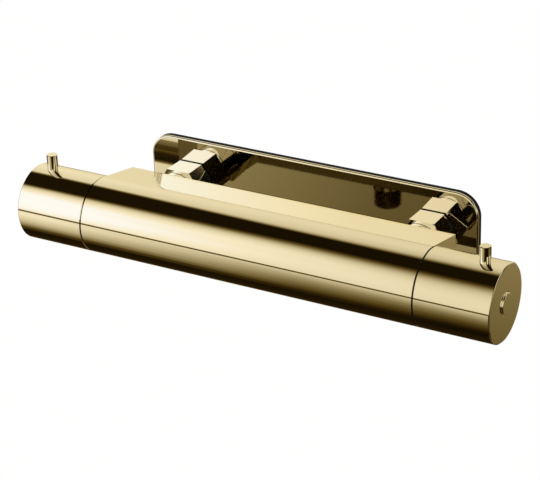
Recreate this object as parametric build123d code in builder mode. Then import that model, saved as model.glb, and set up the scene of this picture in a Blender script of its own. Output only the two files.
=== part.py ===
from build123d import *
from math import cos, radians, sin, tan
import os

# Exposed thermostatic shower mixer for two wall inlets.
# Millimetres. X runs along the bar, +Y points into the wall, +Z is up.
# The origin lies on the wall's face, midway between the two inlets.

os.makedirs("parts", exist_ok=True)

# Bar body
body_diameter = 42.4
body_length = 197.6
wall_to_axis = 61.3
axis_to_back = 33.6
top_slope = 12.3  # degrees that the flat top falls toward the wall
bottom_slope = 5.6  # degrees that the underside rises toward the wall
back_edge_radius = 0.8

# Wall plate on its foam gasket
plate_width = 202.0
plate_height = 51.4
plate_corner_radius = 13.0
plate_sheet = 1.2
plate_edge_radius = 1.0
plate_hole_radius = 12.4
foam_thickness = 2.8
foam_clearance = 0.3
grommet_lip = 0.6
grommet_flange_radius = 13.8
grommet_flange_length = 1.0

# Inlets
inlet_spacing = 150.0
union_radius = 10.4
union_wall_length = 15.0
union_bore_radius = 7.0
union_key_flats = 12.0
union_key_depth = 12.0
union_groove_depth = 1.0
union_groove_end = 0.8
union_groove_length = 2.0
thread_chamfer = 0.8
nut_flats = 25.1
nut_flats_wall_end = 24.2
nut_hex_length = 13.9
nut_shoulder_length = 2.2
nut_shelf = 4.5
nut_plate_gap = 0.95
nut_to_boss = 0.6
thread_clearance = 0.06
boss_radius = 12.4
nipple_radius = 8.9
nipple_flange_radius = 10.2
nipple_flange_length = 2.0
nipple_body_depth = 13.0
nipple_bore_radius = 7.0
nipple_seal_length = 1.0
inlet_chamber_radius = 5.5
inlet_chamber_depth = 6.0
washer_thickness = 2.0
strainer_thickness = 0.6
strainer_hole_radius = 0.8
strainer_hole_pitch = 2.6
strainer_rows = 4

# Check valve inside each inlet nipple
valve_length = 17.5
valve_wall = 1.5
valve_recess = 0.6
valve_seat_radius = 3.8
valve_seat_length = 2.0
valve_travel = 2.5
poppet_radius = 4.9
poppet_thickness = 1.8
poppet_nose = 0.8
stem_radius = 1.1
stem_stop_radius = 1.9
spider_length = 2.0
spider_hub_radius = 2.4
spider_arm_width = 1.4
check_spring_radius = 3.3
check_spring_wire = 0.35
check_spring_turns = 5

# Hose outlet under the bar
outlet_x = 8.5
outlet_behind_axis = 23.2
outlet_radius = 8.3
outlet_boss_radius = 9.4
outlet_boss_bottom = 20.8
outlet_thread_length = 12.2
outlet_body_radius = 7.4
outlet_body_thread = 6.4
outlet_bore_radius = 5.4
outlet_bore_top = 7.0
outlet_way_behind_axis = 20.0
outlet_way_below_axis = 10.5
outlet_port_past_seat = 5.0

# Water ways inside the body
cartridge_bore_radius = 14.5
cartridge_bore_depth = 48.0
gland_radius = 16.0
gland_depth = 9.0
mixing_radius = 7.0
flow_thread_radius = 12.9
flow_thread_depth = 13.0
flow_chamber_radius = 14.0
flow_bore_depth = 44.0
annulus_radius = 16.4
channel_radius = 3.5
channel_behind_axis = 23.0
cold_channel_height = 11.0

# Thermostatic cartridge
sleeve_clearance = 0.1
sleeve_end_clearance = 0.2
sleeve_inner_radius = 11.8
sleeve_end_wall = 2.0
sleeve_end_opening = 5.4
sleeve_ring_width = 2.4
sleeve_ring_depth = 1.2
first_ring_below_gland = 1.6
last_ring_above_end = 3.4
cartridge_flange_radius = 15.8
cartridge_flange_length = 2.0
temperature_neck_radius = 9.0
neck_end = 12.0
guide_radius = 8.2
guide_top = 6.0
hot_seat = 19.5
seat_ring_length = 2.0
hot_gap = 0.75
cold_gap = 0.55
shuttle_length = 18.0
shuttle_radius = 9.5
shuttle_wall = 2.4
shuttle_land_length = 4.0
shuttle_seal_lip = 1.0
shuttle_web_length = 2.0
shuttle_web_arm = 2.8
shuttle_web_below_capsule = 3.0
window_length = 5.0
window_width = 9.0
window_behind_seat = 0.5
capsule_below_shuttle = 2.0
capsule_radius = 4.4
capsule_length = 21.0
piston_radius = 1.8
return_spring_radius = 5.9
return_spring_wire = 0.5
return_spring_turns = 6
overload_spring_turns = 2
adjuster_top = 9.0
adjuster_length = 10.5
adjuster_floor = 4.5
adjuster_skirt_radius = 6.6
lead_screw_radius = 3.5
cap_length = 1.6

# Ceramic flow cartridge
headwork_flats = 26.0
headwork_hex_length = 6.0
headwork_throat_length = 4.0
headwork_window_gap = 1.0
flow_neck_radius = 8.6
barrel_radius = 10.2
barrel_bore_radius = 8.1
disc_thickness = 3.0
disc_sector = 80.0
disc_hub_radius = 2.2
disc_port_radius = 6.2
drive_width = 3.0
drive_depth = 1.2
seat_seal_length = 2.0
seat_seal_opening = 6.2
gasket_depth = 2.0

# Spindles
spindle_radius = 4.5
spline_radius = 4.1
spline_teeth = 20
spline_groove_radius = 0.25
spindle_end = 24.0
spindle_flange_radius = 7.4
spindle_flange_length = 1.5
ring_groove_depth = 0.9
ring_groove_width = 1.8
ring_groove_places = (4.0, 8.0)  # below the neck's end
circlip_radius = 6.0
circlip_length = 0.8

# Handles
handle_length = 41.4
handle_wall = 2.2
handle_end_wall = 2.4
handle_end_chamfer = 0.3
seam_gap = 0.7
glide_ring_length = 0.4
glide_ring_radius = 20.4
glide_ring_inner = 17.8
gland_flats = 30.0
gland_head = 4.0
stop_ring_length = 3.0
stop_rim_radius = 18.5
stop_rim_inner = 16.2
stop_rim_length = 3.4
stop_lug_angle = 20.0
stop_play = 1.0
temperature_hot_turn = 60.0
temperature_cold_turn = 150.0
flow_turn = 90.0
insert_gap = 0.6
insert_hub_gap = 1.2
insert_length = 15.0
insert_web = 3.0
insert_hub_radius = 7.5
handle_pin_radius = 3.0
handle_pin_height = 8.9
handle_pin_from_body = 30.7
pin_spigot_radius = 2.0
screw_head_radius = 3.5
screw_head_length = 2.6
screw_radius = 1.9
screw_length = 10.0
screw_key_flats = 2.5

# Push button in the end of each handle
button_radius = 6.0
button_proud = 1.0
button_edge_radius = 0.5
button_flange_radius = 7.6
button_flange_length = 1.4
button_travel = 1.6
button_skirt_radius = 5.0
button_skirt_wall = 1.0
button_spring_radius = 6.2
button_spring_wire = 0.5
button_spring_turns = 6

# Clearances, and how far a cutting tool runs past the surface
running_clearance = 0.08
face_clearance = 0.05
cut_past = 1.0

# Derived sizes
bar_radius = body_diameter / 2
half_body = body_length / 2
axis_y = -wall_to_axis
back_y = axis_y + axis_to_back
plate_depth = plate_sheet + foam_thickness
handle_bore_radius = bar_radius - handle_wall
handle_end = seam_gap + handle_length
handle_cap = handle_end - handle_end_wall
web_out = spindle_end - insert_web
nut_back_y = -plate_depth - nut_plate_gap
nut_step_y = nut_back_y - nut_hex_length
nut_front_y = nut_step_y - nut_shoulder_length
boss_y = nut_front_y - nut_to_boss
nipple_flange_y = nut_front_y + nut_shelf
washer_y = nipple_flange_y + nipple_flange_length
union_front_y = washer_y + washer_thickness
nipple_end_y = boss_y - nipple_body_depth
seal_end_y = nipple_end_y - nipple_seal_length
chamber_end_y = seal_end_y - inlet_chamber_depth
valve_top_y = washer_y - valve_recess
valve_seat_y = valve_top_y - valve_seat_length
valve_end_y = valve_top_y - valve_length
poppet_y = valve_seat_y - face_clearance
poppet_back_y = poppet_y - poppet_thickness
stem_stop_y = valve_end_y + spider_length + valve_travel
shuttle_top = -hot_seat - hot_gap
shuttle_end = shuttle_top - shuttle_length
cold_seat = shuttle_end - cold_gap
sleeve_end = -cartridge_bore_depth + sleeve_end_clearance
sleeve_radius = cartridge_bore_radius - sleeve_clearance
hot_window = shuttle_top - window_length / 2 - window_behind_seat
cold_window = shuttle_end + window_length / 2 + window_behind_seat
capsule_top = shuttle_top - capsule_below_shuttle
seat_face = -flow_bore_depth
fixed_disc_out = seat_face + seat_seal_length
moving_disc_out = fixed_disc_out + disc_thickness + face_clearance
drive_out = moving_disc_out + disc_thickness
disc_radius = barrel_bore_radius - running_clearance
tangent_y = axis_y + bar_radius * sin(radians(top_slope))
tangent_z = bar_radius * cos(radians(top_slope))
back_z = tangent_z - (back_y - tangent_y) * tan(radians(top_slope))
under_y = axis_y + bar_radius * sin(radians(bottom_slope))
under_z = -bar_radius * cos(radians(bottom_slope))
back_low_z = under_z + (back_y - under_y) * tan(radians(bottom_slope))
outlet_port_x = half_body - flow_bore_depth + outlet_port_past_seat

bar_axis = Axis((0, axis_y, 0), (1, 0, 0))
side_names = {-1: "left", 1: "right"}


def save(piece, name):
    piece.part.label = name
    export_step(piece.part, f"parts/{name}.step")


def bar_plane(side):
    """Section through the bar: local x runs outward from a body end, local y is the radius."""
    return Plane(
        origin=(side * half_body, axis_y, 0), x_dir=(side, 0, 0), z_dir=(0, -side, 0)
    )


def end_plane(side, out):
    """Plane square to the bar, its distance measured outward from a body end."""
    return Plane(
        origin=(side * (half_body + out), axis_y, 0), x_dir=(0, 1, 0), z_dir=(side, 0, 0)
    )


def inlet_plane(side, y):
    """Plane square to an inlet's axis, looking into the wall."""
    return Plane(origin=(side * inlet_spacing / 2, y, 0), x_dir=(1, 0, 0), z_dir=(0, 1, 0))


def turned(plane, axis, *outline):
    """Solid turned about an axis from an outline of (along or radius) points."""
    with BuildPart() as piece:
        with BuildSketch(plane):
            with BuildLine():
                Polyline(*outline, close=True)
            make_face()
        revolve(axis=axis)
    return piece


def bar_turned(side, *outline):
    return turned(bar_plane(side), bar_axis, *outline)


def inlet_turned(side, *outline):
    """Outline points are (radius, y) beside an inlet's axis."""
    plane = Plane(origin=(side * inlet_spacing / 2, 0, 0))
    return turned(plane, Axis(plane.origin, (0, 1, 0)), *outline)


def ring_section(start, end, inner, outer):
    return (start, inner), (start, outer), (end, outer), (end, inner)


def coil_spring(plane, radius, wire, length, turns):
    """Compression spring that starts on the plane and rises along its normal."""
    rise = length - 2 * (wire + face_clearance)
    start = plane.offset(wire + face_clearance)
    with BuildPart() as spring:
        with BuildLine() as path:
            Helix(rise / turns, rise, radius, center=start.origin, direction=start.z_dir)
        with BuildSketch(Plane(origin=path.line @ 0, z_dir=path.line % 0)):
            RegularPolygon(wire, 6)
        sweep(is_frenet=True)
    return spring


def make_body():
    """Cast brass bar with its wedge-shaped rear housing, bosses and bored water ways."""
    with BuildPart() as body:
        with BuildSketch(Plane.YZ.offset(-half_body)):
            with Locations((axis_y, 0)):
                Circle(bar_radius)
            with BuildLine():
                Polyline(
                    (tangent_y, tangent_z),
                    (back_y, back_z),
                    (back_y, back_low_z),
                    (under_y, under_z),
                    close=True,
                )
            make_face()
        extrude(amount=body_length)
        back_face = body.faces().sort_by(Axis.Y)[-1]
        fillet(back_face.edges(), radius=back_edge_radius)

        # Hose outlet boss, square to the floor under the sloping bottom
        outlet_plane = Plane(
            origin=(outlet_x, axis_y + outlet_behind_axis, -outlet_boss_bottom)
        )
        with BuildSketch(outlet_plane):
            Circle(outlet_boss_radius)
        extrude(amount=outlet_boss_bottom)
        with BuildSketch(outlet_plane):
            Circle(outlet_body_radius + thread_clearance)
        extrude(amount=outlet_body_thread, mode=Mode.SUBTRACT)
        with BuildSketch(outlet_plane):
            Circle(outlet_bore_radius)
        extrude(amount=outlet_boss_bottom - outlet_bore_top, mode=Mode.SUBTRACT)

        # Inlet bosses and the sockets of the two nipples
        for side in side_names:
            with BuildSketch(inlet_plane(side, back_y)):
                Circle(boss_radius)
            extrude(amount=boss_y - back_y)
            with BuildSketch(inlet_plane(side, boss_y)):
                Circle(nipple_radius + thread_clearance)
            extrude(amount=seal_end_y - boss_y, mode=Mode.SUBTRACT)
            with BuildSketch(inlet_plane(side, boss_y)):
                Circle(inlet_chamber_radius)
            extrude(amount=chamber_end_y - boss_y, mode=Mode.SUBTRACT)

        # Bores for the two cartridges, and the mixed water's way between them
        with BuildSketch(bar_plane(-1)):
            with BuildLine():
                Polyline(
                    (0, 0),
                    (0, gland_radius),
                    (-gland_depth, gland_radius),
                    (-gland_depth, cartridge_bore_radius),
                    (-cartridge_bore_depth, cartridge_bore_radius),
                    (-cartridge_bore_depth, 0),
                    close=True,
                )
            make_face()
        revolve(axis=bar_axis, mode=Mode.SUBTRACT)
        with BuildSketch(bar_plane(1)):
            with BuildLine():
                Polyline(
                    (0, 0),
                    (0, flow_chamber_radius),
                    (-gasket_depth, flow_chamber_radius),
                    (-gasket_depth, flow_thread_radius),
                    (-flow_thread_depth, flow_thread_radius),
                    (-flow_thread_depth, flow_chamber_radius),
                    (-flow_bore_depth, flow_chamber_radius),
                    (-flow_bore_depth, 0),
                    close=True,
                )
            make_face()
        revolve(axis=bar_axis, mode=Mode.SUBTRACT)
        with BuildSketch(end_plane(1, -flow_bore_depth)):
            Circle(mixing_radius)
        extrude(
            amount=-(body_length - flow_bore_depth - cartridge_bore_depth), mode=Mode.SUBTRACT
        )

        # Hot and cold ways: each rises from its inlet, runs along behind the bar and
        # opens into the ring-shaped chamber round one of the cartridge's windows
        channel_y = axis_y + channel_behind_axis
        for inlet_x, window, height in (
            (-inlet_spacing / 2, hot_window, 0),
            (inlet_spacing / 2, cold_window, cold_channel_height),
        ):
            with BuildSketch(bar_plane(-1)):
                with BuildLine():
                    half_window = window_length / 2
                    Polyline(
                        *ring_section(window - half_window, window + half_window, 0, annulus_radius),
                        close=True,
                    )
                make_face()
            revolve(axis=bar_axis, mode=Mode.SUBTRACT)
            if height:
                with BuildSketch(Plane((inlet_x, channel_y, 0))):
                    Circle(channel_radius)
                extrude(amount=height, mode=Mode.SUBTRACT)
            window_x = -(half_body + window)
            channel_start = min(inlet_x, window_x) - channel_radius
            channel_length = abs(inlet_x - window_x) + 2 * channel_radius
            with BuildSketch(Plane.YZ.offset(channel_start)):
                with Locations((channel_y, height)):
                    Circle(channel_radius)
            extrude(amount=channel_length, mode=Mode.SUBTRACT)
            with BuildSketch(Plane.XZ.offset(-channel_y)):
                with Locations((window_x, height)):
                    Circle(channel_radius)
            extrude(amount=channel_behind_axis - annulus_radius / 2, mode=Mode.SUBTRACT)

        # Mixed water's way from the flow cartridge's chamber to the hose outlet
        outlet_way_y = axis_y + outlet_way_behind_axis
        with BuildSketch(Plane.YZ.offset(outlet_x)):
            with Locations((outlet_way_y, -outlet_way_below_axis)):
                Circle(channel_radius)
        extrude(amount=outlet_port_x + channel_radius - outlet_x, mode=Mode.SUBTRACT)
        with BuildSketch(Plane.XZ.offset(-outlet_way_y)):
            with Locations((outlet_port_x, -outlet_way_below_axis)):
                Circle(channel_radius)
        extrude(amount=outlet_way_behind_axis, mode=Mode.SUBTRACT)
    save(body, "mixer_body")


def make_wall_plate():
    """Polished cover plate with a rounded front edge, on a foam gasket of its outline."""
    with BuildPart() as plate:
        with BuildSketch(Plane.XZ.offset(foam_thickness)):
            RectangleRounded(plate_width, plate_height, plate_corner_radius)
        extrude(amount=plate_sheet)
        fillet(plate.faces().sort_by(Axis.Y)[0].edges(), radius=plate_edge_radius)
        with BuildSketch(Plane.XZ):
            with GridLocations(inlet_spacing, 0, 2, 1):
                Circle(plate_hole_radius)
        extrude(amount=plate_depth, mode=Mode.SUBTRACT)
    save(plate, "wall_plate")

    with BuildPart() as foam:
        with BuildSketch(Plane.XZ):
            RectangleRounded(plate_width, plate_height, plate_corner_radius)
            with GridLocations(inlet_spacing, 0, 2, 1):
                Circle(grommet_flange_radius + foam_clearance, mode=Mode.SUBTRACT)
        extrude(amount=foam_thickness)
    save(foam, "wall_plate_foam")


def make_inlet(side):
    """One wall inlet: union, grommet, nut, nipple, washer, strainer and check valve."""
    name = side_names[side]

    with BuildPart() as union:
        with BuildSketch(inlet_plane(side, union_front_y)):
            Circle(union_radius)
        extrude(amount=union_wall_length - union_front_y)
        chamfer(union.edges().filter_by(GeomType.CIRCLE), length=thread_chamfer)
        with BuildSketch(inlet_plane(side, union_groove_end)):
            Circle(union_radius + cut_past)
            Circle(union_radius - union_groove_depth, mode=Mode.SUBTRACT)
        extrude(amount=-union_groove_length, mode=Mode.SUBTRACT)
        with BuildSketch(inlet_plane(side, union_front_y)):
            Circle(union_bore_radius)
        bore_length = union_wall_length - union_key_depth - union_front_y
        extrude(amount=bore_length, mode=Mode.SUBTRACT)
        with BuildSketch(inlet_plane(side, union_front_y + bore_length)):
            RegularPolygon(union_key_flats / 2, 6, major_radius=False)
        extrude(amount=union_key_depth, mode=Mode.SUBTRACT)
    save(union, f"wall_union_{name}")

    # Rubber grommet that closes the plate's hole round the union
    sheet_y = -foam_thickness
    grommet = inlet_turned(
        side,
        (union_radius, -plate_depth - grommet_lip),
        (plate_hole_radius - grommet_lip, -plate_depth - grommet_lip),
        (plate_hole_radius, -plate_depth),
        (plate_hole_radius, sheet_y),
        (grommet_flange_radius, sheet_y),
        (grommet_flange_radius, sheet_y + grommet_flange_length),
        (union_radius, sheet_y + grommet_flange_length),
    )
    save(grommet, f"plate_grommet_{name}")

    # Union nut: a tapering hexagon with a round shoulder toward the bar
    with BuildPart() as nut:
        with BuildSketch(inlet_plane(side, nut_step_y)):
            RegularPolygon(nut_flats / 2, 6, major_radius=False)
        with BuildSketch(inlet_plane(side, nut_back_y)):
            RegularPolygon(nut_flats_wall_end / 2, 6, major_radius=False)
        loft()
        with BuildSketch(inlet_plane(side, nut_front_y)):
            Circle(boss_radius)
        extrude(amount=nut_shoulder_length)
        with BuildSketch(inlet_plane(side, nut_front_y)):
            Circle(nipple_radius + thread_clearance)
        extrude(amount=nut_shelf, mode=Mode.SUBTRACT)
        with BuildSketch(inlet_plane(side, nipple_flange_y)):
            Circle(union_radius + thread_clearance)
        extrude(amount=nut_back_y - nipple_flange_y, mode=Mode.SUBTRACT)
    save(nut, f"union_nut_{name}")

    nipple = inlet_turned(
        side,
        (nipple_bore_radius, washer_y),
        (nipple_flange_radius, washer_y),
        (nipple_flange_radius, nipple_flange_y),
        (nipple_radius, nipple_flange_y),
        (nipple_radius, nipple_end_y),
        (nipple_bore_radius, nipple_end_y),
    )
    save(nipple, f"inlet_nipple_{name}")

    washer = inlet_turned(
        side,
        (nipple_bore_radius, union_front_y),
        (nipple_flange_radius, union_front_y),
        (nipple_flange_radius, washer_y),
        (nipple_bore_radius, washer_y),
    )
    save(washer, f"inlet_washer_{name}")

    with BuildPart() as strainer:
        with BuildSketch(inlet_plane(side, washer_y)):
            Circle(nipple_bore_radius)
            with HexLocations(strainer_hole_pitch / 2, strainer_rows, strainer_rows):
                Circle(strainer_hole_radius, mode=Mode.SUBTRACT)
        extrude(amount=strainer_thickness)
    save(strainer, f"inlet_strainer_{name}")

    # Check valve: cage with a seat toward the wall and a spider toward the bar
    cage_radius = nipple_bore_radius
    cage_bore = cage_radius - valve_wall
    with BuildPart() as cage:
        with BuildSketch(inlet_plane(side, valve_end_y)):
            Circle(cage_radius)
            Circle(cage_bore, mode=Mode.SUBTRACT)
        extrude(amount=valve_length)
        with BuildSketch(inlet_plane(side, valve_seat_y)):
            Circle(cage_bore)
            Circle(valve_seat_radius, mode=Mode.SUBTRACT)
        extrude(amount=valve_seat_length)
        with BuildSketch(inlet_plane(side, valve_end_y)):
            Circle(spider_hub_radius)
            with PolarLocations(cage_bore / 2, 3):
                Rectangle(cage_bore + valve_wall / 2, spider_arm_width)
            Circle(stem_radius + running_clearance, mode=Mode.SUBTRACT)
        extrude(amount=spider_length)
    save(cage, f"check_valve_cage_{name}")

    poppet = inlet_turned(
        side,
        (0, poppet_y + poppet_nose),
        (valve_seat_radius - poppet_nose, poppet_y + poppet_nose),
        (valve_seat_radius - running_clearance, poppet_y),
        (poppet_radius, poppet_y),
        (poppet_radius, poppet_y - poppet_thickness / 2),
        (valve_seat_radius, poppet_back_y),
        (stem_stop_radius, poppet_back_y),
        (stem_stop_radius, stem_stop_y),
        (stem_radius, stem_stop_y),
        (stem_radius, valve_end_y),
        (0, valve_end_y),
    )
    save(poppet, f"check_valve_poppet_{name}")

    spring_start = valve_end_y + spider_length
    spring = coil_spring(
        inlet_plane(side, spring_start),
        check_spring_radius,
        check_spring_wire,
        poppet_back_y - spring_start,
        check_spring_turns,
    )
    save(spring, f"check_valve_spring_{name}")


def make_nipple_seals():
    """Fibre rings under the two nipples, at the bottom of their sockets."""
    with BuildPart() as seals:
        for side in side_names:
            with BuildSketch(inlet_plane(side, seal_end_y)):
                Circle(nipple_radius)
                Circle(nipple_bore_radius, mode=Mode.SUBTRACT)
            extrude(amount=nipple_seal_length)
    save(seals, "nipple_seals")


def make_outlet():
    """Threaded hose nipple screwed into the boss under the bar."""
    place = Plane(
        origin=(outlet_x, axis_y + outlet_behind_axis, -outlet_boss_bottom),
        z_dir=(0, 0, -1),
    )
    with BuildPart() as outlet:
        with BuildSketch(place):
            Circle(outlet_radius)
        extrude(amount=outlet_thread_length)
        chamfer(outlet.edges().sort_by(Axis.Z)[0], length=thread_chamfer)
        with BuildSketch(place):
            Circle(outlet_body_radius)
        extrude(amount=-outlet_body_thread)
        with BuildSketch(place.offset(-outlet_body_thread)):
            Circle(outlet_bore_radius)
        extrude(amount=outlet_body_thread + outlet_thread_length, mode=Mode.SUBTRACT)
    save(outlet, "outlet_nipple")


def sleeve_rings():
    """Places of the cartridge's three rubber rings, outward from the body end."""
    middle = (hot_window + cold_window) / 2
    first = -gland_depth - first_ring_below_gland
    last = sleeve_end + last_ring_above_end
    return [place - sleeve_ring_width / 2 for place in (first, middle, last)]


def make_thermostat():
    """Everything of the thermostatic cartridge that stays still in the body."""
    with BuildPart() as cartridge:
        with BuildSketch(bar_plane(-1)):
            with BuildLine():
                Polyline(
                    (sleeve_end, sleeve_end_opening),
                    (sleeve_end, sleeve_radius),
                    (-gland_depth, sleeve_radius),
                    (-gland_depth, cartridge_flange_radius),
                    (-gland_depth + cartridge_flange_length, cartridge_flange_radius),
                    (-gland_depth + cartridge_flange_length, temperature_neck_radius),
                    (neck_end, temperature_neck_radius),
                    (neck_end, spindle_radius + running_clearance),
                    (-guide_top, spindle_radius + running_clearance),
                    (-guide_top, guide_radius),
                    (-hot_seat, guide_radius),
                    (-hot_seat, sleeve_inner_radius),
                    (cold_seat, sleeve_inner_radius),
                    (cold_seat, guide_radius),
                    (cold_seat - seat_ring_length, guide_radius),
                    (cold_seat - seat_ring_length, sleeve_inner_radius),
                    (sleeve_end + sleeve_end_wall, sleeve_inner_radius),
                    (sleeve_end + sleeve_end_wall, sleeve_end_opening),
                    close=True,
                )
            make_face()
        revolve(axis=bar_axis)
        for place in sleeve_rings():
            with BuildSketch(end_plane(-1, place)):
                Circle(sleeve_radius + cut_past)
                Circle(sleeve_radius - sleeve_ring_depth, mode=Mode.SUBTRACT)
            extrude(amount=sleeve_ring_width, mode=Mode.SUBTRACT)
        for window in (hot_window, cold_window):
            with BuildSketch(end_plane(-1, window - window_length / 2)):
                Rectangle(4 * sleeve_radius, window_width)
                Rectangle(window_width, 4 * sleeve_radius)
                Circle(shuttle_radius + cut_past, mode=Mode.SUBTRACT)
            extrude(amount=window_length, mode=Mode.SUBTRACT)
    save(cartridge, "thermostatic_cartridge")

    with BuildPart() as rings:
        for place in sleeve_rings():
            with BuildSketch(end_plane(-1, place)):
                Circle(cartridge_bore_radius)
                Circle(sleeve_radius - sleeve_ring_depth, mode=Mode.SUBTRACT)
            extrude(amount=sleeve_ring_width)
    save(rings, "cartridge_rings")

    # Gland nut that holds the cartridge down
    with BuildPart() as gland:
        with BuildSketch(end_plane(-1, -gland_depth + cartridge_flange_length)):
            Circle(gland_radius - thread_clearance)
        extrude(amount=gland_depth - cartridge_flange_length)
        with BuildSketch(end_plane(-1, 0)):
            RegularPolygon(gland_flats / 2, 6, major_radius=False)
        extrude(amount=gland_head)
        with BuildSketch(end_plane(-1, -gland_depth)):
            Circle(temperature_neck_radius + thread_clearance)
        extrude(amount=gland_depth + gland_head, mode=Mode.SUBTRACT)
    save(gland, "thermostat_gland_nut")


def make_shuttle():
    """Sliding pieces: adjuster, cap, wax element, shuttle and their springs."""
    with BuildPart() as adjuster:
        with BuildSketch(end_plane(-1, -adjuster_top)):
            Circle(guide_radius - running_clearance)
            Circle(lead_screw_radius + running_clearance, mode=Mode.SUBTRACT)
        extrude(amount=-adjuster_floor)
        with BuildSketch(end_plane(-1, -adjuster_top - adjuster_floor)):
            Circle(guide_radius - running_clearance)
            Circle(adjuster_skirt_radius, mode=Mode.SUBTRACT)
        extrude(amount=-(adjuster_length - adjuster_floor))
    save(adjuster, "temperature_adjuster")

    cap_out = -adjuster_top - adjuster_length
    cap = bar_turned(
        -1,
        (cap_out, 0),
        (cap_out, adjuster_skirt_radius),
        (cap_out + cap_length, adjuster_skirt_radius),
        (cap_out + cap_length, piston_radius),
        (cap_out + cap_length, 0),
    )
    save(cap, "overload_cap")

    spring = coil_spring(
        end_plane(-1, cap_out + cap_length),
        adjuster_skirt_radius - 2 * return_spring_wire,
        return_spring_wire,
        adjuster_length - adjuster_floor - cap_length,
        overload_spring_turns,
    )
    save(spring, "overload_spring")

    # Wax capsule with its piston against the cap and a collar on the shuttle's web
    web_top = capsule_top - shuttle_web_below_capsule
    element = bar_turned(
        -1,
        (cap_out, 0),
        (cap_out, piston_radius),
        (capsule_top, piston_radius),
        (capsule_top, capsule_radius),
        (capsule_top - capsule_length, capsule_radius),
        (capsule_top - capsule_length, 0),
    )
    save(element, "wax_element")

    land = shuttle_top - (shuttle_length - shuttle_land_length) / 2
    land_radius = sleeve_inner_radius - running_clearance
    groove = sleeve_ring_depth
    seal_top = land - shuttle_seal_lip
    seal_end = land - shuttle_land_length + shuttle_seal_lip
    with BuildPart() as shuttle:
        with BuildSketch(bar_plane(-1)):
            with BuildLine():
                Polyline(
                    (shuttle_top, shuttle_radius - shuttle_wall),
                    (shuttle_top, shuttle_radius),
                    (land, shuttle_radius),
                    (land, land_radius),
                    (seal_top, land_radius),
                    (seal_top, land_radius - groove),
                    (seal_end, land_radius - groove),
                    (seal_end, land_radius),
                    (land - shuttle_land_length, land_radius),
                    (land - shuttle_land_length, shuttle_radius),
                    (shuttle_end, shuttle_radius),
                    (shuttle_end, shuttle_radius - shuttle_wall),
                    close=True,
                )
            make_face()
        revolve(axis=bar_axis)
        with BuildSketch(end_plane(-1, web_top)):
            Circle(capsule_radius + shuttle_seal_lip)
            with PolarLocations(shuttle_radius / 2, 3):
                Rectangle(shuttle_radius, shuttle_web_arm)
            Circle(capsule_radius, mode=Mode.SUBTRACT)
        extrude(amount=-shuttle_web_length)
    save(shuttle, "shuttle")

    with BuildPart() as seal:
        with BuildSketch(end_plane(-1, seal_top)):
            Circle(sleeve_inner_radius - face_clearance)
            Circle(land_radius - groove, mode=Mode.SUBTRACT)
        extrude(amount=seal_end - seal_top)
    save(seal, "shuttle_seal")

    lip = sleeve_end + sleeve_end_wall
    spring = coil_spring(
        end_plane(-1, lip),
        return_spring_radius,
        return_spring_wire,
        web_top - shuttle_web_length - lip,
        return_spring_turns,
    )
    save(spring, "thermostat_spring")


def make_spindle(side, inner_end, name):
    """Turned spindle: its inner outline is given, its splined end is the same on both sides."""
    rings = [neck_end - place for place in ring_groove_places]
    with BuildPart() as spindle:
        with BuildSketch(bar_plane(side)):
            with BuildLine():
                Polyline(
                    *inner_end,
                    (neck_end, spindle_radius),
                    (neck_end, spline_radius),
                    (spindle_end, spline_radius),
                    (spindle_end, 0),
                    close=True,
                )
            make_face()
        revolve(axis=bar_axis)
        for place in rings:
            with BuildSketch(end_plane(side, place - ring_groove_width / 2)):
                Circle(spindle_radius + cut_past)
                Circle(spindle_radius - ring_groove_depth, mode=Mode.SUBTRACT)
            extrude(amount=ring_groove_width, mode=Mode.SUBTRACT)
        with BuildSketch(end_plane(side, neck_end + circlip_length)):
            with PolarLocations(spline_radius, spline_teeth):
                Circle(spline_groove_radius)
        extrude(amount=spindle_end - neck_end - circlip_length, mode=Mode.SUBTRACT)
        with BuildSketch(end_plane(side, spindle_end)):
            Circle(screw_radius)
        extrude(amount=-screw_length - cut_past, mode=Mode.SUBTRACT)
        if side > 0:
            with BuildSketch(end_plane(side, drive_out - drive_depth)):
                Rectangle(2 * spindle_flange_radius, drive_width)
            extrude(amount=drive_depth)
    save(spindle, f"{name}_spindle")

    with BuildPart() as seals:
        for place in rings:
            with BuildSketch(end_plane(side, place - ring_groove_width / 2)):
                Circle(spindle_radius + running_clearance / 2)
                Circle(spindle_radius - ring_groove_depth, mode=Mode.SUBTRACT)
            extrude(amount=ring_groove_width)
    save(seals, f"{name}_spindle_rings")

    clip_out = neck_end + face_clearance
    clip = bar_turned(
        side, *ring_section(clip_out, clip_out + circlip_length, spline_radius, circlip_radius)
    )
    save(clip, f"{name}_circlip")


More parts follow.
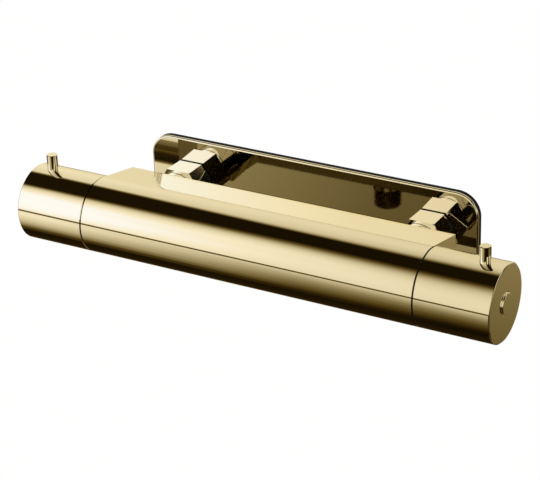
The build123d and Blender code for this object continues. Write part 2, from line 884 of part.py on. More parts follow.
def make_flow_cartridge():
    """Ceramic-disc headwork screwed into the right end of the bar."""
    thread = flow_thread_radius - thread_clearance
    barrel_end = seat_face + seat_seal_length / 2
    window = drive_out + spindle_flange_length + headwork_window_gap
    shoulder = -flow_thread_depth - headwork_throat_length
    with BuildPart() as headwork:
        with BuildSketch(bar_plane(1)):
            with BuildLine():
                Polyline(
                    (barrel_end, barrel_bore_radius),
                    (barrel_end, barrel_radius),
                    (-flow_thread_depth, barrel_radius),
                    (-flow_thread_depth, thread),
                    (0, thread),
                    (0, flow_neck_radius),
                    (neck_end, flow_neck_radius),
                    (neck_end, spindle_radius + running_clearance),
                    (shoulder, spindle_radius + running_clearance),
                    (shoulder, barrel_bore_radius),
                    close=True,
                )
            make_face()
        revolve(axis=bar_axis)
        with BuildSketch(end_plane(1, 0)):
            RegularPolygon(headwork_flats / 2, 6, major_radius=False)
            Circle(flow_neck_radius, mode=Mode.SUBTRACT)
        extrude(amount=headwork_hex_length)
        with BuildSketch(end_plane(1, window)):
            Rectangle(4 * barrel_radius, window_width)
            Circle(spindle_radius + cut_past, mode=Mode.SUBTRACT)
        extrude(amount=window_length, mode=Mode.SUBTRACT)
    save(headwork, "flow_cartridge")

    gasket = bar_turned(
        1, *ring_section(-gasket_depth, 0, flow_thread_radius, flow_chamber_radius)
    )
    save(gasket, "flow_cartridge_gasket")

    seal = bar_turned(
        1, *ring_section(seat_face, fixed_disc_out, seat_seal_opening, disc_radius)
    )
    save(seal, "seat_seal")

    for name, out, turn in (
        ("fixed_disc", fixed_disc_out, 0),
        ("moving_disc", moving_disc_out, 90),
    ):
        with BuildPart() as disc:
            with BuildSketch(end_plane(1, out)):
                Circle(disc_radius)
                for start in (turn, turn + 180):
                    with BuildLine():
                        rim = CenterArc(
                            (0, 0), disc_port_radius, start - disc_sector / 2, disc_sector
                        )
                        hub = CenterArc(
                            (0, 0), disc_hub_radius, start - disc_sector / 2, disc_sector
                        )
                        Line(hub @ 0, rim @ 0)
                        Line(hub @ 1, rim @ 1)
                    make_face(mode=Mode.SUBTRACT)
            extrude(amount=disc_thickness)
            if name == "moving_disc":
                with BuildSketch(end_plane(1, drive_out - drive_depth)):
                    Rectangle(2 * barrel_radius, drive_width)
                extrude(amount=drive_depth, mode=Mode.SUBTRACT)
        save(disc, name)

    make_spindle(
        1,
        [
            (drive_out, 0),
            (drive_out, spindle_flange_radius),
            (drive_out + spindle_flange_length, spindle_flange_radius),
            (drive_out + spindle_flange_length, spindle_radius),
        ],
        "flow",
    )


def make_temperature_spindle():
    """Spindle with a lead screw that moves the adjuster in or out."""
    flange = -guide_top - face_clearance
    make_spindle(
        -1,
        [
            (-adjuster_top - adjuster_floor, 0),
            (-adjuster_top - adjuster_floor, lead_screw_radius),
            (flange - spindle_flange_length, lead_screw_radius),
            (flange - spindle_flange_length, spindle_flange_radius),
            (flange, spindle_flange_radius),
            (flange, spindle_radius),
        ],
        "temperature",
    )


def make_handle(side, name, neck_radius, gland_end, turn_range, stop_at):
    """One turning handle with its pin, insert, stop ring, screw and push button."""
    glide = bar_turned(
        side, *ring_section(0, glide_ring_length, glide_ring_inner, glide_ring_radius)
    )
    save(glide, f"glide_ring_{side_names[side]}")

    # Fixed stop ring: the lug of the insert turns in the gap of its rim
    rim_angle = 360 - turn_range - stop_lug_angle - 2 * stop_play
    rim_start = gland_end + stop_ring_length
    with BuildPart() as stop:
        with BuildSketch(end_plane(side, gland_end)):
            Circle(stop_rim_radius)
            Circle(neck_radius, mode=Mode.SUBTRACT)
        extrude(amount=stop_ring_length)
        with BuildSketch(end_plane(side, rim_start)):
            with BuildLine():
                outer = CenterArc((0, 0), stop_rim_radius, stop_at, rim_angle)
                inner = CenterArc((0, 0), stop_rim_inner, stop_at, rim_angle)
                Line(inner @ 0, outer @ 0)
                Line(inner @ 1, outer @ 1)
            make_face()
        extrude(amount=stop_rim_length)
    save(stop, f"{name}_stop_ring")

    # Insert: splined hub, web and the ring that grips the handle shell
    insert_start = rim_start + stop_rim_length + insert_gap
    insert_end = insert_start + insert_length
    with BuildPart() as insert:
        with BuildSketch(bar_plane(side)):
            with BuildLine():
                Polyline(
                    (neck_end + insert_hub_gap, spline_radius),
                    (neck_end + insert_hub_gap, insert_hub_radius),
                    (web_out, insert_hub_radius),
                    (web_out, stop_rim_inner),
                    (insert_start, stop_rim_inner),
                    (insert_start, handle_bore_radius),
                    (insert_end, handle_bore_radius),
                    (insert_end, stop_rim_inner),
                    (spindle_end, stop_rim_inner),
                    (spindle_end, spline_radius),
                    close=True,
                )
            make_face()
        revolve(axis=bar_axis)
        lug_start = rim_start + insert_gap / 3
        with BuildSketch(end_plane(side, lug_start)):
            with BuildLine():
                lug_from = 90 - stop_lug_angle / 2
                outer = CenterArc((0, 0), stop_rim_radius, lug_from, stop_lug_angle)
                inner = CenterArc((0, 0), stop_rim_inner, lug_from, stop_lug_angle)
                Line(inner @ 0, outer @ 0)
                Line(inner @ 1, outer @ 1)
            make_face()
        extrude(amount=insert_start - lug_start)
    save(insert, f"{name}_handle_insert")

    button_hole = button_radius + running_clearance
    pin_plane = Plane((side * (half_body + handle_pin_from_body), axis_y, 0))
    with BuildPart() as handle:
        with BuildSketch(end_plane(side, seam_gap)):
            Circle(bar_radius)
        extrude(amount=handle_length)
        ends = handle.edges().filter_by(GeomType.CIRCLE)
        chamfer(ends, length=handle_end_chamfer)
        with BuildSketch(end_plane(side, seam_gap)):
            Circle(handle_bore_radius)
        extrude(amount=handle_length - handle_end_wall, mode=Mode.SUBTRACT)
        with BuildSketch(end_plane(side, handle_cap)):
            Circle(button_hole)
        extrude(amount=handle_end_wall, mode=Mode.SUBTRACT)
        rim = handle.faces().sort_by(Axis.X)[-1 if side > 0 else 0]
        chamfer(rim.edges().sort_by(SortBy.LENGTH)[0], length=handle_end_chamfer)
        with BuildSketch(pin_plane):
            Circle(pin_spigot_radius)
        extrude(amount=bar_radius + cut_past, mode=Mode.SUBTRACT)
    save(handle, f"{name}_handle")

    # Round pin, saddled to the handle and screwed into its wall
    with BuildPart() as pin:
        with BuildSketch(pin_plane):
            Circle(handle_pin_radius)
        extrude(amount=bar_radius + handle_pin_height)
        chamfer(pin.edges().sort_by(Axis.Z)[-1], length=handle_end_chamfer)
        with BuildSketch(end_plane(side, 0)):
            Circle(bar_radius)
        extrude(amount=handle_end, mode=Mode.SUBTRACT)
        with BuildSketch(pin_plane.offset(handle_bore_radius)):
            Circle(pin_spigot_radius)
        extrude(amount=handle_wall + handle_pin_height / 2)
    save(pin, f"{name}_handle_pin")

    with BuildPart() as screw:
        with BuildSketch(end_plane(side, spindle_end)):
            Circle(screw_head_radius)
        extrude(amount=screw_head_length)
        with BuildSketch(end_plane(side, spindle_end)):
            Circle(screw_radius)
        extrude(amount=-screw_length)
        with BuildSketch(end_plane(side, spindle_end + screw_head_length)):
            RegularPolygon(screw_key_flats / 2, 6, major_radius=False)
        extrude(amount=-screw_head_length / 2, mode=Mode.SUBTRACT)
    save(screw, f"{name}_handle_screw")

    flange_out = handle_cap - face_clearance
    button_back = flange_out - button_flange_length
    skirt_end = spindle_end + button_travel + face_clearance
    skirt_inner = button_skirt_radius - button_skirt_wall
    with BuildPart() as button:
        with BuildSketch(bar_plane(side)):
            with BuildLine():
                Polyline(
                    (button_back, 0),
                    (button_back, skirt_inner),
                    (skirt_end, skirt_inner),
                    (skirt_end, button_skirt_radius),
                    (button_back, button_skirt_radius),
                    (button_back, button_flange_radius),
                    (flange_out, button_flange_radius),
                    (flange_out, button_radius),
                    (handle_end + button_proud, button_radius),
                    (handle_end + button_proud, 0),
                    close=True,
                )
            make_face()
        revolve(axis=bar_axis)
        face = button.faces().sort_by(Axis.X)[-1 if side > 0 else 0]
        fillet(face.edges(), radius=button_edge_radius)
    save(button, f"{name}_button")

    spring = coil_spring(
        end_plane(side, spindle_end),
        button_spring_radius,
        button_spring_wire,
        button_back - spindle_end,
        button_spring_turns,
    )
    save(spring, f"{name}_button_spring")


make_body()
make_wall_plate()
for side in side_names:
    make_inlet(side)
make_nipple_seals()
make_outlet()
make_thermostat()
make_shuttle()
make_temperature_spindle()
make_flow_cartridge()
make_handle(
    -1,
    "temperature",
    temperature_neck_radius,
    gland_head,
    temperature_hot_turn + temperature_cold_turn,
    90 + stop_lug_angle / 2 + stop_play + temperature_cold_turn,
)
make_handle(
    1,
    "flow",
    flow_neck_radius,
    headwork_hex_length,
    flow_turn,
    90 + stop_lug_angle / 2 + stop_play + flow_turn,
)
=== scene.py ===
import math

import bmesh
import bpy
from mathutils import Matrix, Vector


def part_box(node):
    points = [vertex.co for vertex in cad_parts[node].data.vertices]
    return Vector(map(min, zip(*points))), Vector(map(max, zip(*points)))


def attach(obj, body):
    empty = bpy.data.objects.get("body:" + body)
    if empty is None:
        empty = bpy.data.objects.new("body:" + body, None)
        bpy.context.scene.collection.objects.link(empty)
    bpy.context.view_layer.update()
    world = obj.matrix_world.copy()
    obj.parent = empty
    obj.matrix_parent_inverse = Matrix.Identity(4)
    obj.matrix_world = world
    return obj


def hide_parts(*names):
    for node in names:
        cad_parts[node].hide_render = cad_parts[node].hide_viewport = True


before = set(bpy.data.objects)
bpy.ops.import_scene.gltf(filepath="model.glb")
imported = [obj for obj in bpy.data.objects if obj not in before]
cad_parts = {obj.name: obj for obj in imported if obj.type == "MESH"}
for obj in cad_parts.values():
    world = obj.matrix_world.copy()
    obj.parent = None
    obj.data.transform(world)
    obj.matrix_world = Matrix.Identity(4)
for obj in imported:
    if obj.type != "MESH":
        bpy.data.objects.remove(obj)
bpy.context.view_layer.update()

mm = 0.001
print("frame loaded:", len(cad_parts), "pieces")

# Driving sizes of the mixer, in millimetres, as the pieces below use them
mixer = {
    "axisY": -61.3,          # the bar's axis, in front of the wall
    "barRadius": 21.2,
}


def linear(hexColour):
    # sRGB hex to the linear values that the shaders take, by the sRGB curve
    parts = [int(hexColour[i:i + 2], 16) / 255 for i in (1, 3, 5)]
    return [p / 12.92 if p <= 0.04045 else ((p + 0.055) / 1.055) ** 2.4
            for p in parts] + [1.0]


def addNode(tree, kind, inputs=None, **settings):
    # one node: its settings, then its inputs, each a value or another node's output
    node = tree.nodes.new("ShaderNode" + kind)
    for name, value in settings.items():
        setattr(node, name, value)
    for name, value in (inputs or {}).items():
        if isinstance(value, bpy.types.NodeSocket):
            tree.links.new(value, node.inputs[name])
        else:
            node.inputs[name].default_value = value
    return node


def startMaterial(name):
    material = bpy.data.materials.new(name)
    material.use_nodes = True
    material.node_tree.nodes.clear()
    return material, material.node_tree


def endMaterial(material, shader):
    addNode(material.node_tree, "OutputMaterial", {"Surface": shader.outputs[0]})
    return material


# A noise hardly leaves the middle of its range, so only that part is spread out
noiseRange = {"from": 0.3, "to": 0.7}


def addNoise(tree, place, size, detail):
    # noise fixed to the object, with patches about so many millimetres wide
    return addNode(tree, "TexNoise", {
        "Vector": place.outputs["Object"], "Scale": 1 / (size * mm), "Detail": detail})


def addGloss(tree, noise, low, high):
    # roughness that wanders with a noise from one value to another
    return addNode(tree, "MapRange", {
        "Value": noise.outputs["Fac"],
        "From Min": noiseRange["from"], "From Max": noiseRange["to"],
        "To Min": low, "To Max": high})


def addBump(tree, noise, depth, strength):
    # depth in millimetres
    return addNode(tree, "Bump", {
        "Height": noise.outputs["Fac"], "Distance": depth * mm, "Strength": strength})


def addPiece(name, mesh):
    piece = bpy.data.objects.new(name, mesh)
    bpy.context.scene.collection.objects.link(piece)
    return piece


def capitals(name):
    # flow_handle to FlowHandle
    return "".join(word.capitalize() for word in name.split("_"))


# Brass, ground, mirror polished and vacuum coated in light gold: it shows the studio
# almost sharply, with a trace of the polishing in the surface. Where the metal is seen
# in its own mirror image it takes a near-white colour, a painted reflection, so that
# the second image keeps the tint of the first and shows lighter than gold would
goldCoat = {
    "colour": "#f7e6bb",
    # painted reflection: the near-white colour the gold takes where it is seen in its own mirror
    # image
    "imageColour": "#fdfcf9",
    "edgeTint": "#fbf4dc",    # the gold stays when it is seen at a slant
    "roughness": (0.03, 0.045),
    # soft waves that polishing leaves, and faint wiping marks in the gloss, in mm
    "waveSize": 9.0, "waveDepth": 0.0004, "waveDetail": 1.0,
    "wispSize": 1.5, "wispDetail": 3.0,
    # painted shade: the face towards the wall gets darker colours, for the shade in the gap
    # between the bar and the wall plate
    "rearColour": "#a99b78",
    "rearImageColour": "#a8a085",
    "rearFacing": 0.99,       # how squarely a face has to look at the wall
}


def makePolishedGoldBrass():
    material, tree = startMaterial("polishedGoldBrass")
    place = addNode(tree, "TexCoord")
    path = addNode(tree, "LightPath")
    surface = addNode(tree, "NewGeometry")
    facing = addNode(tree, "SeparateXYZ", {"Vector": surface.outputs["True Normal"]})
    # painted shade mask: faces that look squarely at the wall take the darker rear colours
    rearShadeMask = addNode(tree, "Math", {0: facing.outputs["Y"], 1: goldCoat["rearFacing"]},
                     operation="GREATER_THAN")
    # for each, the direct colour and the painted reflection colour that glossy rays see
    shades = []
    for direct, image in (("colour", "imageColour"), ("rearColour", "rearImageColour")):
        shade = addNode(tree, "MixRGB", {
            0: path.outputs["Is Glossy Ray"], 1: linear(goldCoat[direct]),
            2: linear(goldCoat[image])})
        shades.append(shade.outputs[0])
    # the faces towards the wall take the painted shade colours
    tint = addNode(tree, "MixRGB", {0: rearShadeMask.outputs[0], 1: shades[0], 2: shades[1]})
    wave = addNoise(tree, place, goldCoat["waveSize"], goldCoat["waveDetail"])
    wisp = addNoise(tree, place, goldCoat["wispSize"], goldCoat["wispDetail"])
    gloss = addGloss(tree, wisp, *goldCoat["roughness"])
    relief = addBump(tree, wave, goldCoat["waveDepth"], 1.0)
    shader = addNode(tree, "BsdfPrincipled", {
        "Base Color": tint.outputs[0], "Metallic": 1.0,
        "Specular Tint": linear(goldCoat["edgeTint"]),
        "Roughness": gloss.outputs[0], "Normal": relief.outputs[0]})
    return endMaterial(material, shader)


# Turned or wound metal, not coated: fine tool marks, in mm, break up the gloss
turnedMetals = {
    "brightBrass": {"colour": "#d9b768", "roughness": 0.22, "markSize": 0.4},
    # the outlet's thread, cut before the coat and rougher; its dark colour is painted shade, for
    # the shade between its crests
    "threadBrass": {"colour": "#7d693f", "roughness": 0.3, "markSize": 0.4},
    "copper": {"colour": "#d08a66", "roughness": 0.25, "markSize": 0.5},
    "springSteel": {"colour": "#b9bbbd", "roughness": 0.28, "markSize": 0.3},
}
toolMarks = {"depth": 0.003, "strength": 0.5, "detail": 4.0, "gloss": (0.8, 1.3)}


def makeTurnedMetal(name):
    metal = turnedMetals[name]
    material, tree = startMaterial(name)
    place = addNode(tree, "TexCoord")
    marks = addNoise(tree, place, metal["markSize"], toolMarks["detail"])
    gloss = addGloss(tree, marks, *(metal["roughness"] * part for part in toolMarks["gloss"]))
    relief = addBump(tree, marks, toolMarks["depth"], toolMarks["strength"])
    shader = addNode(tree, "BsdfPrincipled", {
        "Base Color": linear(metal["colour"]), "Metallic": 1.0,
        "Roughness": gloss.outputs[0], "Normal": relief.outputs[0]})
    return endMaterial(material, shader)


# Moulded plastics, rubber, foam, fibre and ceramic: how far the colour
# wanders and how coarse the skin is tell them apart
softFinishes = {
    "whiteAcetal": {"colour": "#e9e7df", "shade": "#dcd9cf", "roughness": 0.38, "grain": 0.5},
    "greyAcetal": {"colour": "#8d8f91", "shade": "#808285", "roughness": 0.4, "grain": 0.5},
    "blackAcetal": {"colour": "#191715", "shade": "#0f0e0c", "roughness": 0.42, "grain": 0.5},
    "blackRubber": {"colour": "#141210", "shade": "#0c0b0a", "roughness": 0.62, "grain": 0.3},
    "blackFoam": {"colour": "#120d06", "shade": "#060402", "roughness": 0.9, "grain": 0.25},
    "redFibre": {"colour": "#8e3524", "shade": "#6f2718", "roughness": 0.75, "grain": 0.2},
    "aluminaCeramic": {"colour": "#f2efe6", "shade": "#e8e4d8", "roughness": 0.16, "grain": 0.8},
}
skin = {"depth": 0.02, "detail": 5.0, "shadeAt": 0.35, "colourAt": 0.6}


def makeSoftFinish(name):
    finish = softFinishes[name]
    material, tree = startMaterial(name)
    place = addNode(tree, "TexCoord")
    grain = addNoise(tree, place, finish["grain"], skin["detail"])
    colour = addNode(tree, "ValToRGB", {"Fac": grain.outputs["Fac"]})
    for stop, key in zip(colour.color_ramp.elements, ("shade", "colour")):
        stop.color = linear(finish[key])
        stop.position = skin[key + "At"]
    relief = addBump(tree, grain, skin["depth"], finish["roughness"])
    shader = addNode(tree, "BsdfPrincipled", {
        "Base Color": colour.outputs["Color"], "Roughness": finish["roughness"],
        "Normal": relief.outputs[0]})
    return endMaterial(material, shader)


def makeMaterials():
    made = {"polishedGoldBrass": makePolishedGoldBrass()}
    made.update({name: makeTurnedMetal(name) for name in turnedMetals})
    made.update({name: makeSoftFinish(name) for name in softFinishes})
    return made


def dressNodes(materials):
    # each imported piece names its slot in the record: polished_gold_brass and so on
    for name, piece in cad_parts.items():
        for slot in piece.material_slots:
            finish = capitals(slot.material.name.split(".")[0])
            finish = finish[0].lower() + finish[1:]
            if finish in materials:
                slot.material = materials[finish]
            else:
                print("no finish for", name, slot.material.name)


# Turned pieces: rings of points round an axis, each a distance along it and a radius
# that may change with the angle
turning = {"points": 72, "sharpFrom": 28}      # points in a ring, degrees


def loftRings(name, toPlace, rings, material):
    count = turning["points"]
    corners, faces = [], []
    for along, radius in rings:
        for n in range(count):
            angle = 2 * math.pi * n / count
            corners.append(toPlace(along, radius(angle, along) * math.cos(angle),
                                   radius(angle, along) * math.sin(angle)))
    # the last ring closes on the first, so each piece is a tube with a wall
    for k in range(len(rings)):
        a, b = k * count, (k + 1) % len(rings) * count
        for n in range(count):
            m = (n + 1) % count
            faces.append((a + n, a + m, b + m, b + n))
    mesh = bpy.data.meshes.new(name)
    mesh.from_pydata([[c * mm for c in corner] for corner in corners], [], faces)
    shape = bmesh.new()
    shape.from_mesh(mesh)
    bmesh.ops.recalc_face_normals(shape, faces=shape.faces)
    shape.to_mesh(mesh)
    shape.free()
    mesh.shade_smooth()
    mesh.set_sharp_from_angle(angle=math.radians(turning["sharpFrom"]))
    mesh.materials.append(material)
    return addPiece(name, mesh)


def circle(size):
    return lambda angle, along: size


def hexagon(flats):
    # a hexagonal socket: how far its wall is from the axis at an angle, a flat on top
    side = math.pi / 3

    def radius(angle, along):
        return flats / 2 / math.cos((angle - math.pi / 2 + side / 2) % side - side / 2)
    return radius


# Across a pitch the thread stays on its crest, slopes down to the root and back
threadForm = {"slope": 1.3, "crest": 0.15}


def threadRadius(thread, start, end):
    # a pipe thread cut into the full radius, chamfered at both ends
    def radius(angle, along):
        turn = (along / thread["pitch"] + angle / (2 * math.pi)) % 1
        form = abs(2 * turn - 1) * threadForm["slope"] - threadForm["crest"]
        depth = thread["depth"] * min(1, max(0, form))
        near = min(along - start, end - along)
        return thread["radius"] - max(depth, thread["chamfer"] - near)
    return radius


def threadRings(thread, start, end):
    count = math.ceil((end - start) / thread["pitch"] * thread["steps"])
    radius = threadRadius(thread, start, end)
    return [(start + (end - start) * k / count, radius) for k in range(count + 1)]


# Wall unions: half inch threads, a relief groove at the wall, a hexagonal socket
union = {
    "radius": 10.4, "pitch": 1.814, "depth": 1.1, "chamfer": 0.8,
    "steps": 5,                    # rings in a pitch
    "groove": (-1.2, 0.8), "grooveRadius": 9.2,
    "boreRadius": 7.0, "socketFlats": 12.0, "socketDepth": 12.0,
}

# Hose nipple under the bar: three-eighths inch thread below, a plain neck in the boss
nipple = {
    "radius": 8.3, "pitch": 1.337, "depth": 0.8, "chamfer": 0.8,
    "steps": 5,
    "neckRadius": 7.4, "neckLength": 6.4, "boreRadius": 5.4,
}


def makeUnion(side, material):
    low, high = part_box("wall_union_" + side)
    middleX = (low[0] + high[0]) / 2 / mm
    front, back = low[1] / mm, high[1] / mm
    grooveFrom, grooveTo = union["groove"]
    groove = circle(union["grooveRadius"])
    socketEnd = back - union["socketDepth"]
    socket, bore = hexagon(union["socketFlats"]), circle(union["boreRadius"])
    rings = threadRings(union, front, grooveFrom)
    rings += [(grooveFrom, groove), (grooveTo, groove)]
    rings += threadRings(union, grooveTo, back)
    rings += [(back, socket), (socketEnd, socket), (socketEnd, bore), (front, bore)]
    piece = loftRings("threadedUnion" + side.capitalize(),
                      lambda y, a, b: (middleX + a, y, b), rings, material)
    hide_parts("wall_union_" + side)
    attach(piece, "root")


def makeNipple(material):
    low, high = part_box("outlet_nipple")
    x, y = (low[0] + high[0]) / 2 / mm, (low[1] + high[1]) / 2 / mm
    bottom, top = low[2] / mm, high[2] / mm
    shoulder = top - nipple["neckLength"]
    neck, bore = circle(nipple["neckRadius"]), circle(nipple["boreRadius"])
    rings = threadRings(nipple, bottom, shoulder)
    rings += [(shoulder, neck), (top, neck), (top, bore), (bottom, bore)]
    piece = loftRings("threadedNipple", lambda z, a, b: (x + a, y + b, z), rings, material)
    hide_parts("outlet_nipple")
    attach(piece, "root")


# Handle drums: polishing rounds the rim of the end face more than the turned chamfer
rim = {"chamfer": 0.3, "rounding": 0.75, "near": 0.05}


def softenRim(name):
    # the handle's piece and its body have one name
    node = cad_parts[name]
    place, back = node.matrix_world, node.matrix_world.inverted()
    mesh = node.data.copy()
    normals = [corner.vector.copy() for corner in mesh.corner_normals]
    spots = [place @ vert.co / mm for vert in mesh.vertices]
    end = max((abs(spot.x), spot.x) for spot in spots)[1]
    side = math.copysign(1, end)
    # the chamfer's two rings of points move apart, and their normals go from the
    # drum's to the end face's, so that the band between them reads as a rounding
    turned = {}
    for n, (x, y, z) in enumerate(spots):
        outward = Vector((0, y - mixer["axisY"], z))
        inset, drop = abs(end - x), mixer["barRadius"] - outward.length
        if abs(inset - rim["chamfer"]) < rim["near"] and abs(drop) < rim["near"]:
            spot = Vector((end - side * rim["rounding"], y, z))
            turned[n] = outward.normalized()
        elif inset < rim["near"] and abs(drop - rim["chamfer"]) < rim["near"]:
            ratio = (mixer["barRadius"] - rim["rounding"]) / outward.length
            spot = Vector((x, mixer["axisY"] + outward.y * ratio, z * ratio))
            turned[n] = Vector((side, 0, 0))
        else:
            continue
        mesh.vertices[n].co = back @ (spot * mm)
    for face in mesh.polygons:
        # a face of the band has points of both rings and no others
        seen = {round(turned[n].x) if n in turned else None for n in face.vertices}
        if len(seen) == 2 and None not in seen:
            for corner in face.loop_indices:
                normals[corner] = back.to_3x3() @ turned[mesh.loops[corner].vertex_index]
    mesh.normals_split_custom_set([normal.normalized() for normal in normals])
    piece = addPiece("soft" + capitals(name), mesh)
    piece.matrix_world = place.copy()
    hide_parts(name)
    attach(piece, name)


# A light tent round the bar: panels from end to end, which taper, so each edge between
# two panels has its own angle at every station. Angles go round the bar's axis: 0 is
# towards the wall, 90 straight up and 180 to the front. A level of 1 shows as white
tent = {
    "radius": 1.3,            # m
    "stations": (-0.95, -0.57, -0.37, 0.2),    # m from the middle, along the bar
    "edges": [
        # (degrees, level) at each station
        [(-90, 0.012), (-90, 0.012), (-90, 0.012), (-90, 0.15)],
        [(-62, 0.02), (-62, 0.02), (-62, 0.02), (-62, 0.2)],
        [(-45, 0.1), (-45, 0.1), (-45, 0.05), (-45, 0.15)],
        [(-31, 0.15), (-31, 0.15), (-31, 0.012), (-34, 0.13)],
        [(-26.5, 0.28), (-26.5, 0.28), (-26.5, 0.015), (-26, 0.32)],
        [(-14, 0.5), (-14, 0.5), (-14, 0.4), (-14, 0.4)],
        [(0, 0.88), (0, 0.82), (0, 0.79), (0, 0.79)],
        [(24, 0.96), (24, 0.84), (24, 0.79), (24, 0.79)],
        [(45, 0.87), (45, 0.79), (45, 0.78), (45, 0.78)],
        # the lamp over the top ends and the black flag begins
        [(59, 0.8), (61, 0.7), (59, 0.67), (59, 0.67)],
        [(61.5, 0.5), (68, 0.52), (67, 0.51), (67, 0.51)],
        [(64.5, 0.14), (73, 0.17), (73.5, 0.18), (73.5, 0.18)],
        [(68.5, 0.012), (77, 0.01), (79, 0.01), (79, 0.01)],
        # the front lamp
        [(110, 0.013), (107, 0.01), (110, 0.01), (110, 0.01)],
        [(114, 0.16), (114, 0.11), (117, 0.08), (117, 0.08)],
        [(118, 0.58), (120, 0.36), (124, 0.29), (124, 0.29)],
        [(124, 0.88), (127, 0.67), (131, 0.525), (131, 0.525)],
        [(134, 1.09), (134, 0.84), (139, 0.7), (139, 0.7)],
        [(143, 1.22), (142, 0.93), (149, 0.805), (149, 0.805)],
        [(164, 1.27), (163, 0.95), (161, 0.86), (161, 0.86)],
        [(176, 1.2), (176, 0.91), (177, 0.855), (177, 0.855)],
        [(190, 1.04), (188.5, 0.84), (188.5, 0.82), (188.5, 0.82)],
        # the slit between it and the reflector below
        [(190.7, 0.12), (189.1, 0.1), (189.1, 0.1), (189.1, 0.1)],
        [(195, 0.12), (192.8, 0.1), (192.8, 0.1), (192.8, 0.1)],
        [(195.6, 0.97), (193.3, 0.66), (193.3, 0.65), (193.3, 0.1)],
        [(206, 0.95), (206, 0.41), (204, 0.4), (204, 0.02)],
        [(214, 0.82), (214, 0.3), (213, 0.22), (213, 0.01)],
        [(226, 0.635), (226, 0.175), (226, 0.095), (226, 0.01)],
        [(238, 0.335), (238, 0.09), (238, 0.042), (238, 0.01)],
        [(248, 0.09), (248, 0.032), (248, 0.013), (248, 0.03)],
        [(262, 0.01), (262, 0.01), (262, 0.007), (262, 0.12)],
    ],
    "halfLength": 4.0,
    # the third station's panels hold up to here, and a black flag hangs across the
    # tent beyond the fourth, all the way round: from, to, and its soft border
    "holdTo": -0.05, "flag": (0.84, 1.3), "flagBorder": 0.04, "flagLevel": 0.006,
    "capLevels": (0.9, 0.3),      # left and right end
    # the shade in the tent is warm, its white is neutral and its brightest light is cool
    "glow": 1.8,
    "shades": [
        (0.0, "#000000"), (0.012, "#130d04"), (0.05, "#2f240d"), (0.1, "#433a1c"),
        (0.25, "#68614c"), (0.5, "#908c80"), (0.75, "#adaca6"), (1.0, "#c5c6ca"),
        (1.17, "#cad5f7"), (1.33, "#cbd8fe"),
    ],
}


def makeTent():
    material, tree = startMaterial("lightTent")
    level = addNode(tree, "Attribute", attribute_name="level")
    topLevel = tent["shades"][-1][0]
    share = addNode(tree, "Math", {0: level.outputs["Fac"], 1: topLevel}, operation="DIVIDE")
    shade = addNode(tree, "ValToRGB", {"Fac": share.outputs[0]})
    stops = shade.color_ramp.elements
    stops.remove(stops[1])
    for index, (position, value) in enumerate(tent["shades"]):
        stop = stops[0] if index == 0 else stops.new(position / topLevel)
        stop.position = position / topLevel
        stop.color = linear(value)
    glow = addNode(tree, "Emission", {"Color": shade.outputs["Color"], "Strength": tent["glow"]})
    endMaterial(material, glow)

    # rings of points from left to right: the end rings repeat the outer stations' panels
    panels = [[edge[k] for edge in tent["edges"]] for k in range(len(tent["stations"]))]
    dark = [(angle, tent["flagLevel"]) for angle, value in panels[-1]]
    flagFrom, flagTo = tent["flag"]
    border, half = tent["flagBorder"], tent["halfLength"]
    rings = [(-half, panels[0])]
    rings += zip(tent["stations"][:-1], panels)
    rings += [(tent["holdTo"], panels[-2]), (tent["stations"][-1], panels[-1]),
              (flagFrom - border, panels[-1]), (flagFrom, dark),
              (flagTo, dark), (flagTo + border, panels[-1]), (half, panels[-1])]
    corners, levels, faces = [], [], []
    count = len(tent["edges"])
    axisY = mixer["axisY"] * mm
    for x, ring in rings:
        for angle, value in ring:
            angle = math.radians(angle)
            corners.append((x, tent["radius"] * math.cos(angle) + axisY,
                            tent["radius"] * math.sin(angle)))
            levels.append(value)
    for k in range(len(rings) - 1):
        for n in range(count):
            a, b = k * count + n, k * count + (n + 1) % count
            faces.append((a, b, b + count, a + count))
    # a cap on each end: a fan of faces to one point
    lastRing = (len(rings) - 1) * count
    for x, start, value in zip((-half, half), (0, lastRing), tent["capLevels"]):
        corners.append((x, axisY, 0))
        levels.append(value)
        faces += [(start + n, start + (n + 1) % count, len(corners) - 1) for n in range(count)]
    mesh = bpy.data.meshes.new("lightTent")
    mesh.from_pydata(corners, [], faces)
    shown = mesh.attributes.new("level", "FLOAT", "POINT")
    for index, value in enumerate(levels):
        shown.data[index].value = value
    mesh.materials.append(material)
    # it lights the polish only: the rest gets the white world's light
    piece = addPiece("lightTent", mesh)
    piece.visible_camera = False
    piece.visible_diffuse = False
    piece.visible_shadow = False


# White world, and a pale floor well below the mixer, in metres. The camera sees the
# floor nearly as white as the world
studio = {
    "ambient": 0.9,
    "floorDrop": 1.1, "floorSize": 12.0,
    "floorColour": "#f4f3f0", "floorGlow": 1.02, "floorWhite": 0.9,
}


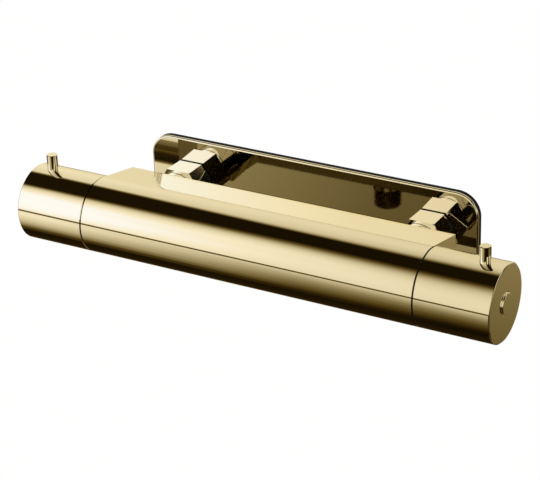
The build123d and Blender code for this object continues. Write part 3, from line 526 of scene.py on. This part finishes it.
def makeStudio():
    world = bpy.data.worlds.new("studio")
    bpy.context.scene.world = world
    world.use_nodes = True
    tree = world.node_tree
    tree.nodes.clear()
    path = addNode(tree, "LightPath")
    seen = addNode(tree, "Math", {
        0: path.outputs["Is Camera Ray"], 1: path.outputs["Is Glossy Ray"]}, operation="MAXIMUM")
    clear = addNode(tree, "Math", {
        0: seen.outputs[0], 1: path.outputs["Is Transmission Ray"]}, operation="MAXIMUM")
    strength = addNode(tree, "MapRange", {
        "Value": clear.outputs[0], "To Min": studio["ambient"], "To Max": 1.0})
    sky = addNode(tree, "Background", {
        "Color": (1, 1, 1, 1), "Strength": strength.outputs[0]})
    addNode(tree, "OutputWorld", {"Surface": sky.outputs[0]})

    material, tree = startMaterial("paleFloor")
    path = addNode(tree, "LightPath")
    board = addNode(tree, "BsdfDiffuse", {"Color": linear(studio["floorColour"])})
    white = addNode(tree, "Emission", {
        "Color": (1, 1, 1, 1), "Strength": studio["floorGlow"]})
    share = addNode(tree, "Math", {
        0: path.outputs["Is Camera Ray"], 1: studio["floorWhite"]}, operation="MULTIPLY")
    mix = addNode(tree, "MixShader", {
        0: share.outputs[0], 1: board.outputs[0], 2: white.outputs[0]})
    endMaterial(material, mix)
    bpy.ops.mesh.primitive_plane_add(
        size=studio["floorSize"], location=(0, 0, -studio["floorDrop"]))
    floor = bpy.context.object
    floor.name = "paleFloor"
    floor.data.materials.append(material)
    floor.visible_glossy = False


# The camera stands in front, to the right and above, and is rolled a little
view = {
    "azimuth": 29.83, "elevation": 26.90, "roll": -2.12,    # degrees
    "distance": 1036.3,       # mm from the point that it looks at
    "aimRight": 6.03, "aimUp": 4.57,                        # mm beside the bar's middle
    "lens": 130.53, "sensor": 36.0,                         # mm
    "reach": 100.0,                                         # m
}


def makeCamera():
    azimuth, elevation, roll = (math.radians(view[k]) for k in ("azimuth", "elevation", "roll"))
    back = Vector((math.sin(azimuth) * math.cos(elevation),
                   -math.cos(azimuth) * math.cos(elevation), math.sin(elevation)))
    level = (-back).cross(Vector((0, 0, 1))).normalized()
    over = level.cross(-back)
    right = level * math.cos(roll) + over * math.sin(roll)
    up = over * math.cos(roll) - level * math.sin(roll)
    middle = Vector((0, mixer["axisY"], 0))
    spot = middle + right * view["aimRight"] + up * view["aimUp"] + back * view["distance"]
    data = bpy.data.cameras.new("photoView")
    data.lens = view["lens"]
    data.sensor_width = view["sensor"]
    data.clip_end = view["reach"]
    camera = addPiece("photoView", data)
    turn = Matrix((right, up, back)).transposed().to_4x4()
    camera.matrix_world = Matrix.Translation(spot * mm) @ turn
    bpy.context.scene.camera = camera


materials = makeMaterials()
print("materials made:", len(materials))
dressNodes(materials)
print("pieces dressed")
for side in ("left", "right"):
    makeUnion(side, materials["brightBrass"])
# the nipple's thread takes the brass darkened with painted shade
makeNipple(materials["threadBrass"])
print("threads cut")
for name in ("temperature_handle", "flow_handle"):
    softenRim(name)
print("rims softened")
makeTent()
makeStudio()
makeCamera()
bpy.context.scene.view_settings.view_transform = "Standard"
print("studio and camera set")
